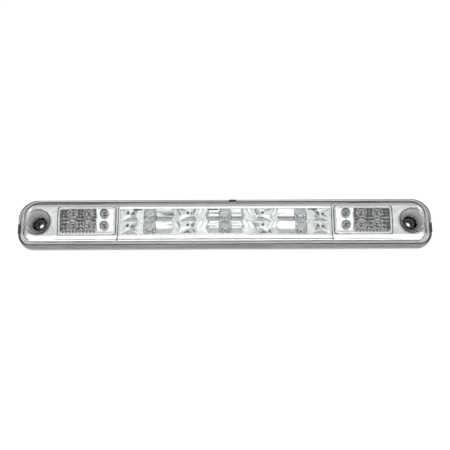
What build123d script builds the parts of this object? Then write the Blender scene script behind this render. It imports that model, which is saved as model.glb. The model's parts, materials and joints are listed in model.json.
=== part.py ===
"""Clear-lens LED high-mount stop lamp with a cargo lamp at each end, built from its separate pieces.

Frame: X runs along the lamp, +Z is up and the front faces -Y. The origin is midway between the two
mounting screws, on the plane where the gasket meets the vehicle. Depths are called "forward": the distance
in front of that plane, so forward = -Y. Sizes are millimetres.
"""

from build123d import *
import math
import os

# --- overall size -------------------------------------------------------------------------------------
LENGTH = 520.0
HEIGHT = 62.0
RIM_FLARE = 1.8  # the skirt is this much larger all round at its back than at the rim's front
RIM_HALF_X = LENGTH / 2 - RIM_FLARE
RIM_HALF_Z = HEIGHT / 2 - RIM_FLARE
RIM_TOP_R = 24.0
RIM_BOTTOM_R = 15.0

# --- forward stations ---------------------------------------------------------------------------------
GASKET_T = 2.4
FLANGE_T = 1.4
SEAL_T = 0.7
FLANGE_FRONT = GASKET_T + FLANGE_T
SKIRT_BACK = FLANGE_FRONT + SEAL_T
LEDGE_BACK = 16.5
LEDGE_FRONT = 18.5
RIM_FRONT = 22.0
SIDE_FRONT = 30.0
CENTRE_FRONT = 32.0
BOX_BACK = -13.0
REFLECTOR_FRONT = 24.5

# --- clear lens ---------------------------------------------------------------------------------------
LENS_WALL = 2.5
FLUTE_COUNT = 222
FLUTE_DEPTH = 0.75
FLUTE_TOP_Z = -10.0  # the flutes run round both lower corners up to this height
# each block's outline at the rim, at its shoulder and at its front
SIDE_STATIONS = (RIM_FRONT, 28.0, SIDE_FRONT)
SIDE_OUTLINES = (
    dict(half_x=252.0, top=25.2, bottom=25.2, r_top=19.0, r_bottom=11.5),
    dict(half_x=250.0, top=23.7, bottom=23.0, r_top=17.0, r_bottom=9.5),
    dict(half_x=246.8, top=21.0, bottom=19.6, r_top=14.0, r_bottom=7.0),
)
CENTRE_STATIONS = (RIM_FRONT, 29.5, CENTRE_FRONT)
CENTRE_OUTLINES = (
    dict(half_x=136.0, top=25.2, bottom=25.2, r_top=2.0, r_bottom=2.0),
    dict(half_x=135.0, top=23.4, bottom=24.7, r_top=2.0, r_bottom=2.0),
    dict(half_x=134.0, top=20.6, bottom=24.3, r_top=1.0, r_bottom=1.5),
)

# --- mounting screws ----------------------------------------------------------------------------------
SCREW_X = 233.0
SCREW_HOLE_R = 3.3
BUSH_R = 4.4
BUSH_CHAMFER = 0.4
BUSH_FRONT = 10.3
DISH_FLOOR = 12.0
DISH_FLOOR_T = 1.5
DISH_HOLE_R = 4.0
# radius and forward station of each ring step, from the rim of the dish down to its floor
DISH_STEPS = [
    (15.0, 30.2),
    (14.3, 28.6),
    (12.8, 26.4),
    (12.4, 25.2),
    (11.0, 22.4),
    (10.6, 21.2),
    (9.2, 18.2),
    (8.8, 17.0),
    (7.4, 14.2),
    (7.0, 13.0),
]

# --- lamp layout --------------------------------------------------------------------------------------
ROW_PITCH = 16.0
BRAKE_Z = 0.0
BRAKE_HALF_X = 132.5
BRAKE_HALF_Z = 16.8
PILLAR_W = 13.8
PILLAR_X = (-93.9, 0.0, 93.9)
STAR_X = (-47.0, 47.0)
OUTER_STAR_X = (-119.0, 119.0)
CARGO_COLUMNS = (151.0, 170.5, 190.0)
CARGO_WALLS = (138.6, 160.6, 180.4, 205.4)
CARGO_ROW_Z = (11.6, -3.7)
CELL_SHALLOW = 24.2
CELL_DEEP = 20.9
CELL_STEPS = 3
PRISM_R = 2.3  # half the diagonal of the small prisms that texture the outer columns
PRISM_PITCH = 4.3
PRISM_RING = 5.9  # prisms stay this far from a cup's centre

# --- boards and light sources -------------------------------------------------------------------------
BOARD_T = 1.6
BRAKE_BOARD_FRONT = 13.5
CARGO_BOARD_FRONT = 15.5
# radius, foot radius and height of the 3 mm and the 5 mm light source
SMALL_LED = (1.5, 1.9, 5.3)
LARGE_LED = (2.5, 2.9, 8.6)
LED_CLEAR = 0.2
LEAD_SPACING = 2.54
LEAD_R = 0.3
BRAKE_REFLECTOR_BACK = 15.5
CARGO_REFLECTOR_BACK = 17.0

CLEAR = 0.2  # assembly clearance between neighbouring mouldings


# --- helpers ------------------------------------------------------------------------------------------
def at_forward(distance):
    """Sketch plane that many millimetres in front of the mounting plane, with X right and Z up."""
    return Plane.XZ.offset(distance)


def slab(sketch, back, front):
    """Solid between two forward stations from a sketch in X and Z."""
    return extrude(at_forward(back) * sketch, front - back)


def rounded(half_x, top, bottom, r_top, r_bottom):
    """Rectangle whose upper and lower corners have their own radii. bottom is measured downwards."""
    face = Pos(0, (top - bottom) / 2) * Rectangle(2 * half_x, top + bottom)
    face = fillet(face.vertices().group_by(Axis.Y)[-1], r_top)
    return fillet(face.vertices().group_by(Axis.Y)[0], r_bottom)


def window(x0, x1, z0, z1, radius):
    """Rounded rectangle given by its sides."""
    return Pos((x0 + x1) / 2, (z0 + z1) / 2) * RectangleRounded(x1 - x0, z1 - z0, radius)


def rim(inset):
    """Outline of the rim's front, moved inwards. A negative inset moves it outwards."""
    half = RIM_HALF_Z - inset
    return rounded(RIM_HALF_X - inset, half, half, RIM_TOP_R - inset, RIM_BOTTOM_R - inset)


def facet(back_points, back, front_points, front):
    """Straight-sided solid between two outlines with as many corners, each at its own forward station."""
    back_face = at_forward(back) * make_face(Polyline(*back_points, close=True))
    front_face = at_forward(front) * make_face(Polyline(*front_points, close=True))
    return loft([back_face, front_face], ruled=True)


def turned(profile):
    """Solid of revolution about the Y axis from (radius, forward) points."""
    points = [(radius, -forward) for radius, forward in profile]
    return revolve(make_face(Polyline(*points, close=True)), Axis.Y)


def rod(x, z, radius, back, front):
    """Round rod along the depth."""
    return slab(Pos(x, z) * Circle(radius), back, front)


def joined(parts):
    """All the parts fused into one shape."""
    return Part() + list(parts)


def mirrored_pair(x):
    """The place and its mirror image across the middle of the lamp."""
    return (-x, x)


# --- clear lens ---------------------------------------------------------------------------------------
def fluted_rim(grow):
    """Rim outline, moved outwards, whose lower edge and lower corners carry fine flutes."""
    half_x = RIM_HALF_X + grow
    half_z = RIM_HALF_Z + grow
    bottom_r = RIM_BOTTOM_R + grow
    corner_x = half_x - bottom_r
    corner_z = -half_z + bottom_r
    side = FLUTE_TOP_Z - corner_z
    arc = bottom_r * math.pi / 2
    total = 2 * (side + arc + corner_x)
    steps = 2 * FLUTE_COUNT
    points = []
    for i in range(steps + 1):
        run = total * i / steps
        mirror = 1 if run > total / 2 else -1
        run = min(run, total - run)
        inset = FLUTE_DEPTH * (i % 2)
        if run < side:
            point = (half_x - inset, FLUTE_TOP_Z - run)
        elif run < side + arc:
            angle = (run - side) / bottom_r
            radius = bottom_r - inset
            point = (corner_x + radius * math.cos(angle), corner_z - radius * math.sin(angle))
        else:
            point = (corner_x - (run - side - arc), -half_z + inset)
        points.append((mirror * point[0], point[1]))
    top_r = RIM_TOP_R + grow
    top_x = half_x - top_r
    top_z = half_z - top_r
    outline = [
        Polyline(*points),
        Line((half_x, FLUTE_TOP_Z), (half_x, top_z)),
        CenterArc((top_x, top_z), top_r, 0, 90),
        Line((top_x, half_z), (-top_x, half_z)),
        CenterArc((-top_x, top_z), top_r, 90, 90),
        Line((-half_x, top_z), (-half_x, FLUTE_TOP_Z)),
    ]
    return make_face(Wire(Curve() + outline))


def skirt():
    """Flared and fluted outside of the rim."""
    back = at_forward(SKIRT_BACK) * fluted_rim(RIM_FLARE)
    front = at_forward(RIM_FRONT) * fluted_rim(0)
    return loft([back, front], ruled=True)


def block(stations, outlines):
    """Outside of a lens block, standing on the rim's front."""
    return loft([at_forward(at) * rounded(**sizes) for at, sizes in zip(stations, outlines)], ruled=True)


def hollow(stations, outlines):
    """Inside of a lens block: its outside, moved back and in by the wall."""
    inner = []
    for at, sizes in zip(stations, outlines):
        smaller = {name: max(value - 0.8 * LENS_WALL, 0.3) for name, value in sizes.items()}
        inner.append(at_forward(at - LENS_WALL) * rounded(**smaller))
    return loft(inner, ruled=True)


PAD_DEPTH = 2.2
PAD_BACK = 9.0
PAD_TOP_X = (5.1, 13.9)
PAD_SIDE_Z = (-13.5, -1.5)


def pad_places(grow, outer):
    """Outlines of the rubber pads on the rim, at the top and at each end, grown by the given clearance."""
    top_z = RIM_HALF_Z - PAD_DEPTH - grow
    side_x = RIM_HALF_X - PAD_DEPTH - grow + 0.6
    low, high = PAD_SIDE_Z
    outlines = [window(PAD_TOP_X[0] - grow, PAD_TOP_X[1] + grow, top_z, RIM_HALF_Z + outer, 0.3)]
    outlines.append(window(-RIM_HALF_X - outer, -side_x, low - grow, high + grow, 0.3))
    outlines.append(window(side_x, RIM_HALF_X + outer, low - grow, high + grow, 0.3))
    return outlines


def rim_pads():
    """Rubber pads let into the rim, which keep the lamp from rattling in the body's recess."""
    return Compound(children=[slab(outline, PAD_BACK, RIM_FRONT) for outline in pad_places(0, 0.5)])


def dish_cavity():
    """Stepped funnel that a mounting screw and its driver go into."""
    profile = [(0, SIDE_FRONT + 1)]
    profile += [(DISH_STEPS[0][0], SIDE_FRONT + 1)] + DISH_STEPS
    profile += [(6.6, DISH_FLOOR), (0, DISH_FLOOR)]
    return turned(profile)


def dish_shell():
    """Wall behind the funnel, with the floor that the screw bears on."""
    back = DISH_FLOOR - DISH_FLOOR_T
    return turned([(0, 29.0), (17.2, 29.0), (15.4, 26.4), (9.3, 14.0), (9.3, back), (0, back)])


def moulded_marks():
    """Plain raised bars along the foot of the middle block, where such a lamp carries its markings."""
    widths = (1.2, 1.2, 2.6)
    bars = []
    x = -25.0
    for i in range(16):
        width = widths[i % len(widths)]
        bars.append(slab(window(x, x + width, -23.2, -20.2, 0.3), CENTRE_FRONT - 0.5, CENTRE_FRONT + 0.7))
        x += width + 1.5
    return bars


def lens_cover():
    """One-piece clear cover: fluted skirt, long block, raised middle block and the two screw dishes."""
    body = joined([skirt(), block(SIDE_STATIONS, SIDE_OUTLINES), block(CENTRE_STATIONS, CENTRE_OUTLINES)])
    body -= slab(rim(LENS_WALL), SKIRT_BACK - 1, RIM_FRONT - LENS_WALL)
    body -= hollow(SIDE_STATIONS, SIDE_OUTLINES)
    body -= hollow(CENTRE_STATIONS, CENTRE_OUTLINES)
    for x in mirrored_pair(SCREW_X):
        body += Pos(x, 0, 0) * dish_shell()
        body -= Pos(x, 0, 0) * dish_cavity()
        body -= rod(x, 0, DISH_HOLE_R, 10, 25)
    for pocket in pad_places(0.05, 4.0):
        body -= slab(pocket, PAD_BACK - 0.05, RIM_FRONT + 1)
    return body + moulded_marks()


# --- housing, seals and mounting pieces ---------------------------------------------------------------
BOX_HALF_X = 200.0
BOX_HALF_Z = 15.0
BOX_WALL = 2.0
POST_R = 3.6
PILOT_R = 1.5
BRAKE_POSTS = [(-124.0, -10.0), (-70.0, 10.0), (70.0, 10.0), (124.0, -10.0)]
CARGO_POSTS = [(141.0, -9.5), (180.5, 4.5)]
PEG_X = (-103.0, -24.0, 24.0, 103.0)
GROMMET_X = 60.0
GROMMET_R = 7.0
VENT_X = -60.0
VENT_R = 3.0


def post_places():
    """Every board post as x, z and the back of the board that it carries."""
    places = [(x, z, BRAKE_BOARD_FRONT - BOARD_T) for x, z in BRAKE_POSTS]
    for side in (-1, 1):
        places += [(side * x, z, CARGO_BOARD_FRONT - BOARD_T) for x, z in CARGO_POSTS]
    return places


def dish_seat():
    """Funnel on a screw boss that the back of a screw dish sits in."""
    inside = [(9.7, 10.0), (9.7, 13.9), (15.3, 24.4)]
    outside = [(16.8, 24.4), (11.4, 13.8), (11.4, 10.0)]
    return turned(inside + outside)


def rear_housing():
    """Moulded tray: flange, wall inside the skirt, screw bosses, board posts, and the box behind."""
    room = slab(rounded(half_x=247.6, top=21.8, bottom=21.8, r_top=14.0, r_bottom=8.0), 5, 30)
    inner_wall = rim(LENS_WALL + CLEAR)
    body = slab(rim(0.4 - RIM_FLARE), GASKET_T, FLANGE_FRONT)
    body += slab(inner_wall - rim(LENS_WALL + CLEAR + 2.0), GASKET_T, LEDGE_FRONT)
    body += slab(inner_wall - rim(LENS_WALL + CLEAR + 7.5), LEDGE_BACK, LEDGE_FRONT)
    body += slab(inner_wall, GASKET_T, 5.5)
    body += slab(RectangleRounded(2 * BOX_HALF_X, 2 * BOX_HALF_Z, 6), BOX_BACK, GASKET_T + 1)
    inside = RectangleRounded(2 * (BOX_HALF_X - BOX_WALL), 2 * (BOX_HALF_Z - BOX_WALL), 4)
    body -= slab(inside, BOX_BACK + BOX_WALL, 6)
    for x in mirrored_pair(SCREW_X):
        body += rod(x, 0, 11.4, GASKET_T, DISH_FLOOR - DISH_FLOOR_T)
        body += (Pos(x, 0, 0) * dish_seat()) & room
        for angle in (0, 90, 180, 270):
            web = Pos(13.0, 0) * Rectangle(6, 1.6)
            body += slab(Pos(x, 0) * Rot(0, 0, angle) * web, GASKET_T, 10)
        body -= rod(x, 0, BUSH_R + 0.1, 0, 20)
    for x in mirrored_pair(214.0):
        body += slab(window(x - 1, x + 1, -14, 16, 0.5), GASKET_T, REFLECTOR_FRONT)
    for x, z, top in post_places():
        body += rod(x, z, POST_R, BOX_BACK + 1, top)
        body -= rod(x, z, PILOT_R, top - 8, top + 1)
    body += rear_ribs()
    body -= rod(GROMMET_X, 0, GROMMET_R, BOX_BACK - 1, BOX_BACK + 4)
    body -= rod(VENT_X, 0, VENT_R, BOX_BACK - 1, BOX_BACK + 4)
    return body


def rear_ribs():
    """Stiffening ribs across the back of the box."""
    ribs = []
    for x in (-165, -125, -20, 20, 125, 165):
        ribs.append(slab(window(x - 0.9, x + 0.9, -13, 13, 0.5), BOX_BACK - 1.5, BOX_BACK + 1))
    return ribs


def mounting_gasket():
    """Foam gasket between the housing flange and the vehicle, cut out for the box and the bushes."""
    pad = rim(0.6 - RIM_FLARE)
    pad -= RectangleRounded(2 * BOX_HALF_X + 3, 2 * BOX_HALF_Z + 3, 7)
    for x in mirrored_pair(SCREW_X):
        pad -= Pos(x, 0) * Circle(BUSH_R + 0.1)
    return slab(pad, 0, GASKET_T)


def lens_seal():
    """Bead of black sealant between the housing flange and the back edge of the lens skirt."""
    return slab(rim(0.3 - RIM_FLARE) - rim(LENS_WALL - 0.1), FLANGE_FRONT, SKIRT_BACK)


def screw_bush(x):
    """Rubber bush that a mounting screw passes through."""
    chamfered = BUSH_FRONT - BUSH_CHAMFER
    outside = [(BUSH_R, 0), (BUSH_R, chamfered), (BUSH_R - BUSH_CHAMFER, BUSH_FRONT)]
    return Pos(x, 0, 0) * turned([(SCREW_HOLE_R, 0)] + outside + [(SCREW_HOLE_R, BUSH_FRONT)])


def wiring_grommet():
    """Rubber grommet in the back wall of the box, where the vehicle's wiring enters."""
    wall_in = BOX_BACK + BOX_WALL
    return Pos(GROMMET_X, 0, 0) * turned(
        [
            (3.0, BOX_BACK - 4),
            (6.2, BOX_BACK - 4),
            (9.0, BOX_BACK - 2),
            (9.0, BOX_BACK),
            (GROMMET_R, BOX_BACK),
            (GROMMET_R, wall_in),
            (8.4, wall_in),
            (8.4, wall_in + 1.5),
            (3.0, wall_in + 1.5),
        ]
    )


def breather_cap():
    """Moulded cap over the vent hole in the back wall."""
    return Pos(VENT_X, 0, 0) * turned(
        [
            (1.2, BOX_BACK + BOX_WALL + 1),
            (VENT_R, BOX_BACK + BOX_WALL + 1),
            (VENT_R, BOX_BACK),
            (6.0, BOX_BACK),
            (6.0, BOX_BACK - 3),
            (5.0, BOX_BACK - 4),
            (1.2, BOX_BACK - 4),
        ]
    )


# --- bezel, reflectors and inner optics ---------------------------------------------------------------
BEZEL_BACK = REFLECTOR_FRONT + CLEAR
BEZEL_FRONT = 25.6
BEZEL_T = 0.9
LIP_BACK = LEDGE_FRONT + 0.7
LIP_FRONT = 21.8
FRAME_W = 2.3
FRAME_GAP = 1.2
FACET_FLOOR = 20.0
PILLAR_FLOOR = 17.6
LOUVRE_DEPTH = 4.6
CHEVRON_DEPTH = 1.4
STAR_WAIST = 7.8
REACH = 3.6  # how far each band leans away from its star between mid-row and the row's edge
OUTWARD_BANDS = ((8.1, 11.6), (11.9, 16.0))  # bands beside a star, as distances at mid-row
INWARD_BANDS = ((8.1, 11.6), (11.9, 16.9), (17.2, 23.6))
STAR_LED_RISE = 3.4
PILLAR_LED_RISE = -1.4
EDGE = 0.15  # half the flat that is left on each moulded ridge
TOP_SLOTS = (-109.3, -14.5, 109.3)
PILLAR_SLOTS = (-101.35, -7.45, 7.45, 101.35)


def cargo_window(side, grow, radius):
    """Outline of a cargo lamp's window on one side of the lamp, grown outwards."""
    x0, x1 = sorted((side * (CARGO_WALLS[0] - grow), side * (CARGO_WALLS[-1] + grow)))
    return window(x0, x1, -14.0 - grow, 17.0 + grow, radius)


def apron():
    """Outside of the mask: a flat front, a slope all round, and a straight lip behind the slope."""
    outer_lip = rounded(half_x=248.6, top=21.8, bottom=21.8, r_top=15.7, r_bottom=8.2)
    outer_front = rounded(half_x=243.5, top=19.5, bottom=18.0, r_top=11.0, r_bottom=5.0)
    inner_lip = rounded(half_x=247.7, top=20.9, bottom=20.9, r_top=14.8, r_bottom=7.3)
    inner_front = rounded(half_x=242.6, top=18.6, bottom=17.1, r_top=10.1, r_bottom=4.1)
    front = at_forward(BEZEL_FRONT) * outer_front
    slope = loft([at_forward(LIP_FRONT) * outer_lip, front], ruled=True)
    inside = at_forward(BEZEL_FRONT - BEZEL_T) * inner_front
    room = loft([at_forward(LIP_FRONT) * inner_lip, inside], ruled=True)
    lip = slab(outer_lip - inner_lip, LIP_BACK, LIP_FRONT)
    return slope - room + lip


def inner_bezel():
    """Metallised mask behind the lens with openings for the lamps and the screw dishes."""
    openings = window(-131, 131, BRAKE_Z - 16.3, BRAKE_Z + 16.3, 1.0)
    openings += [cargo_window(side, FRAME_W + FRAME_GAP, 4.5) for side in (-1, 1)]
    openings += [Pos(x, 0) * Circle(17.3) for x in mirrored_pair(SCREW_X)]
    return apron() - slab(openings, 10, 30)


def cargo_frame(side):
    """Raised bright frame around a cargo lamp's window, with a step along both of its edges."""
    step = BEZEL_FRONT + 0.6
    foot = cargo_window(side, FRAME_W, 4.0) - cargo_window(side, 0, 2.5)
    crest = cargo_window(side, FRAME_W - 0.5, 3.7) - cargo_window(side, 0.6, 2.8)
    return slab(foot, BEZEL_BACK, step) + slab(crest, step, SIDE_FRONT - LENS_WALL - 2 * CLEAR)


def row_span(row):
    """Top, middle and bottom of a brake reflector row, 0 above and 1 below."""
    top = BRAKE_Z + ROW_PITCH * (1 - row) - EDGE
    bottom = BRAKE_Z - ROW_PITCH * row + EDGE
    return top, (top + bottom) / 2, bottom


def louvre(far, near, row):
    """Groove along X whose upper face looks down; its near end leans like the bands beside it."""
    top, middle, bottom = row_span(row)
    lean = math.copysign(REACH, far - near)
    valley = middle - 0.5
    front = [(far, top), (near + lean, top), (near, middle), (near + lean, bottom), (far, bottom)]
    back = [(far, valley + EDGE), (near + lean / 9, valley + EDGE), (near, valley)]
    back += [(near + lean / 9, valley - EDGE), (far, valley - EDGE)]
    return facet(back, REFLECTOR_FRONT - LOUVRE_DEPTH, front, REFLECTOR_FRONT + 0.01)


def star(x, row, waist=STAR_WAIST, shift=0.0):
    """Recess with a narrow waist whose sloping facets meet in a short upright slot."""
    top, middle, bottom = row_span(row)
    wide = waist + REACH
    front = [(-wide, top), (wide, top), (waist, middle), (wide, bottom), (-wide, bottom), (-waist, middle)]
    slot_top = middle + STAR_LED_RISE + 1.0
    slot_low = middle - 0.6
    slot_middle = (slot_top + slot_low) / 2
    back = [(-0.5, slot_top), (0.5, slot_top), (0.6, slot_middle)]
    back += [(0.5, slot_low), (-0.5, slot_low), (-0.6, slot_middle)]
    back = [(x + shift + u, v) for u, v in back]
    front = [(x + u, v) for u, v in front]
    return facet(back, FACET_FLOOR, front, REFLECTOR_FRONT + 0.01)


def chevron(x, side, near, far, row):
    """Lopsided V groove, bent to a point in mid-row: a wide wall by the star, a steep one beyond."""
    top, middle, bottom = row_span(row)

    def bent(inner, outer):
        return [
            (x + side * (inner + REACH), top),
            (x + side * inner, middle),
            (x + side * (inner + REACH), bottom),
            (x + side * (outer + REACH), bottom),
            (x + side * outer, middle),
            (x + side * (outer + REACH), top),
        ]

    line = near + 0.76 * (far - near)
    valley = bent(line - EDGE, line + EDGE)
    return facet(valley, REFLECTOR_FRONT - CHEVRON_DEPTH, bent(near, far), REFLECTOR_FRONT + 0.01)


def pillar_cell(x, row):
    """Four-sided recess behind a pillar optic."""
    top, middle, bottom = row_span(row)
    half = PILLAR_W / 2 - 0.5
    centre = middle + PILLAR_LED_RISE
    front = [(x - half, top), (x + half, top), (x + half, bottom), (x - half, bottom)]
    back = [(x - 2, centre + 2), (x + 2, centre + 2), (x + 2, centre - 2), (x - 2, centre - 2)]
    return facet(back, PILLAR_FLOOR, front, REFLECTOR_FRONT + 0.01)


def brake_led_places():
    """Every stop-lamp light source as x and z."""
    places = []
    for row in (0, 1):
        middle = row_span(row)[1]
        places += [(x, middle + PILLAR_LED_RISE) for x in PILLAR_X]
        places += [(x, middle + STAR_LED_RISE) for x in STAR_X]
        for x in OUTER_STAR_X:
            places += [(x - 3.2, middle + STAR_LED_RISE), (x + 3.2, middle + STAR_LED_RISE - 1.0)]
    return places


def row_recesses(row):
    """All the facets of one row of the brake reflector."""
    half = PILLAR_W / 2
    cuts = [pillar_cell(x, row) for x in PILLAR_X]
    for x in STAR_X:
        outward = math.copysign(1, x)
        cuts.append(star(x, row, shift=-outward * 2.4))
        cuts += [chevron(x, outward, near, far, row) for near, far in OUTWARD_BANDS]
        cuts += [chevron(x, -outward, near, far, row) for near, far in INWARD_BANDS]
        outer_end = outward * (PILLAR_X[-1] - half)
        cuts.append(louvre(outer_end, x + outward * (OUTWARD_BANDS[-1][1] + 0.3), row))
        cuts.append(louvre(outward * half, x - outward * (INWARD_BANDS[-1][1] + 0.3), row))
    cuts += [star(x, row, waist=7.2) for x in OUTER_STAR_X]
    return cuts


def brake_slots():
    """Slots through the reflector: along its top, beside the pillars, and at the foot of each star."""
    slots = [slab(window(x - 5.8, x + 5.8, 14.7, 16.5, 0.3), 12, 26) for x in TOP_SLOTS]
    for x in STAR_X:
        arrow = [(x - 5.2, -15.8), (x, -11.6), (x + 5.2, -15.8), (x, -14.2)]
        slots.append(slab(make_face(Polyline(*arrow, close=True)), 12, 26))
    for x in PILLAR_SLOTS:
        slots.append(slab(window(x - 0.35, x + 0.35, -15.3, -1.1, 0.2), 12, 26))
        slots.append(slab(window(x - 0.35, x + 0.35, 1.1, 14.3, 0.2), 12, 26))
    return slots


def brake_reflector():
    """Metallised reflector: two rows of faceted recesses, open behind each light source."""
    outline = window(-BRAKE_HALF_X, BRAKE_HALF_X, BRAKE_Z - BRAKE_HALF_Z, BRAKE_Z + BRAKE_HALF_Z, 1)
    body = slab(outline, BRAKE_REFLECTOR_BACK, REFLECTOR_FRONT)
    body -= row_recesses(0) + row_recesses(1) + brake_slots()
    body -= [rod(x, z, SMALL_LED[0] + LED_CLEAR, 14, 26) for x, z in brake_led_places()]
    body -= [rod(x, z, SMALL_LED[1] + LED_CLEAR, 14, BRAKE_BOARD_FRONT + 3) for x, z in brake_led_places()]
    body -= [rod(x, z, 4.0, 12, BRAKE_BOARD_FRONT + 3.3) for x, z in BRAKE_POSTS]
    body += [rod(x, BRAKE_Z, 1.4, BRAKE_BOARD_FRONT - 3, BRAKE_REFLECTOR_BACK + 0.1) for x in PEG_X]
    return body


def cargo_led_places(side):
    """Every cargo-lamp light source on one side as x and z."""
    return [(side * x, z) for x in CARGO_COLUMNS for z in CARGO_ROW_Z]


def along_x(x0, x1, profile):
    """Straight solid between two X stations, from a profile of (forward, z) points."""
    plane = Plane(origin=(x0, 0, 0), x_dir=(0, 1, 0), z_dir=(1, 0, 0))
    face = plane * make_face(Polyline(*[(-forward, z) for forward, z in profile], close=True))
    return extrude(face, amount=x1 - x0)


def cargo_cell(side, column, row):
    """Recess round one cup: one floor that looks down next to the middle, steps that look up elsewhere."""
    x0, x1 = sorted((side * (CARGO_WALLS[column] + 0.2), side * (CARGO_WALLS[column + 1] - 0.2)))
    top = min(CARGO_ROW_Z[row] + 7.5, 16.8)
    bottom = CARGO_ROW_Z[row] - 7.5
    open_front = REFLECTOR_FRONT + 0.1
    profile = [(open_front, top), (open_front, bottom)]
    if column == 0:
        profile += [(CELL_DEEP, bottom), (CELL_SHALLOW, top)]
    else:
        pitch = (top - bottom) / CELL_STEPS
        for i in range(CELL_STEPS):
            profile += [(CELL_SHALLOW, bottom + i * pitch), (CELL_DEEP + 0.6, bottom + (i + 1) * pitch)]
    return along_x(x0, x1, profile)


def prism_cuts(side):
    """Small four-sided dents, each turned differently, that texture the two outer columns."""
    cuts = []
    centres = cargo_led_places(side)
    start = CARGO_WALLS[1] + 0.6 * PRISM_PITCH
    for i in range(10):
        for j in range(7):
            x = side * (start + i * PRISM_PITCH)
            z = -11.6 + j * PRISM_PITCH
            if min(math.hypot(x - u, z - v) for u, v in centres) < PRISM_RING:
                continue
            turn = 23 * i + 37 * j
            outline = [(PRISM_R, 0), (0, PRISM_R), (-PRISM_R, 0), (0, -PRISM_R)]
            spun = [turned_point(u, v, turn) for u, v in outline]
            tip = [turned_point(0.3 + 0.2 * u, 0.2 * v, turn) for u, v in outline]
            front = [(x + u, z + v) for u, v in spun]
            back = [(x + u, z + v) for u, v in tip]
            cuts.append(facet(back, 20.0, front, REFLECTOR_FRONT + 0.05))
    return cuts


def turned_point(u, v, angle):
    """A point turned about the origin by an angle in degrees."""
    c = math.cos(math.radians(angle))
    s = math.sin(math.radians(angle))
    return (c * u - s * v, s * u + c * v)


def cup():
    """Round cup around a cargo light source, with its narrow end at the board."""
    return turned([(0, 25.0), (5.8, 25.0), (5.3, 22.0), (4.3, 19.8), (2.9, 18.6), (0, 18.6)])


def cup_rim():
    """Low raised lip round a cup."""
    return turned([(5.5, 20.3), (6.6, 20.3), (6.4, 24.3), (5.9, 24.3)])


def cargo_slots(side):
    """Gaps at the four sides of a cargo reflector's window, open to the board behind."""
    x0, x1 = sorted((side * CARGO_WALLS[0], side * CARGO_WALLS[-1]))
    gap = 0.6
    outlines = [window(x0, x0 + gap, -11.5, 14.5, 0.2), window(x1 - gap, x1, -11.5, 14.5, 0.2)]
    outlines.append(window(x0 + 3, x1 - 3, -14.0, -14.0 + gap, 0.2))
    return [slab(outline, 12, 26) for outline in outlines]


def cargo_reflector(side):
    """Metallised reflector of one cargo lamp: three columns of two cups."""
    x0, x1 = sorted((side * 136.2, side * 207.6))
    body = slab(window(x0, x1, -15.4, 18.2, 1.5), CARGO_REFLECTOR_BACK, REFLECTOR_FRONT)
    for row in (0, 1):
        body -= [cargo_cell(side, column, row) for column in range(3)]
    body -= prism_cuts(side)
    places = cargo_led_places(side)
    body += [Pos(x, 0, z) * cup_rim() for x, z in places]
    body -= [Pos(x, 0, z) * cup() for x, z in places]
    body -= [rod(x, z, LARGE_LED[0] + LED_CLEAR, 16, 20) for x, z in places]
    body -= [rod(x, z, LARGE_LED[1] + LED_CLEAR, 16, 17.6) for x, z in places]
    body -= [rod(side * x, z, 4.0, 16, 18.6) for x, z in CARGO_POSTS]
    body -= cargo_slots(side)
    body += [rod(side * x, 4.0, 1.2, 12.4, 17.2) for x in (144.5, 201.0)]
    return body


def pillar_optic(x):
    """Clear column of two cut-glass cells in front of a pair of light sources."""
    half = PILLAR_W / 2 - 0.2
    bottom = BRAKE_Z - ROW_PITCH
    base = window(x - half, x + half, bottom + 0.2, bottom + 2 * ROW_PITCH - 0.2, 0.4)
    body = slab(base, REFLECTOR_FRONT, 26.0)
    for row in (0, 1):
        top, middle, low = row_span(row)
        foot = [(x - half, top), (x + half, top), (x + half, low), (x - half, low)]
        tip = [(x - 1.6, middle + 1.8), (x + 1.6, middle + 1.8)]
        tip += [(x + 1.6, middle - 1.8), (x - 1.6, middle - 1.8)]
        body += facet(foot, 25.99, tip, 29.0)
    return body


# --- boards and electronics ---------------------------------------------------------------------------
def led_body(size):
    """Round-nosed light source standing on its board."""
    radius, foot, height = size
    shoulder = height - radius
    lower = Polyline((0, 0), (foot, 0), (foot, -1.0), (radius, -1.0), (radius, -shoulder))
    dome = CenterArc((0, -shoulder), radius, 0, -90)
    return revolve(make_face(Curve() + [lower, dome, Line((0, -height), (0, 0))]), Axis.Y)


def led_group(places, front, size):
    """The light sources of one board, as separate solids."""
    body = led_body(size)
    return Compound(children=[Pos(x, -front, z) * body for x, z in places])


def lead_places(places):
    """Both leads of every light source."""
    return [(x + side * LEAD_SPACING / 2, z) for x, z in places for side in (-1, 1)]


def lead_group(places, front):
    """Leads through the board, each with its solder cone behind."""
    back = front - BOARD_T
    solder = [(0, back - 1.2), (LEAD_R, back - 1.2), (0.9, back), (LEAD_R, back)]
    lead = turned(solder + [(LEAD_R, front), (0, front)])
    return Compound(children=[Pos(x, 0, z) * lead for x, z in lead_places(places)])


def brake_board():
    """Board behind the brake reflector."""
    plate = window(-131.5, 131.5, BRAKE_Z - 15.9, BRAKE_Z + 15.9, 1.5)
    plate -= [Pos(x, z) * Circle(1.7) for x, z in BRAKE_POSTS]
    plate -= [Pos(x, BRAKE_Z) * Circle(1.6) for x in PEG_X]
    plate -= [Pos(x, z) * Circle(LEAD_R + 0.1) for x, z in lead_places(brake_led_places())]
    return slab(plate, BRAKE_BOARD_FRONT - BOARD_T, BRAKE_BOARD_FRONT)


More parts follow.
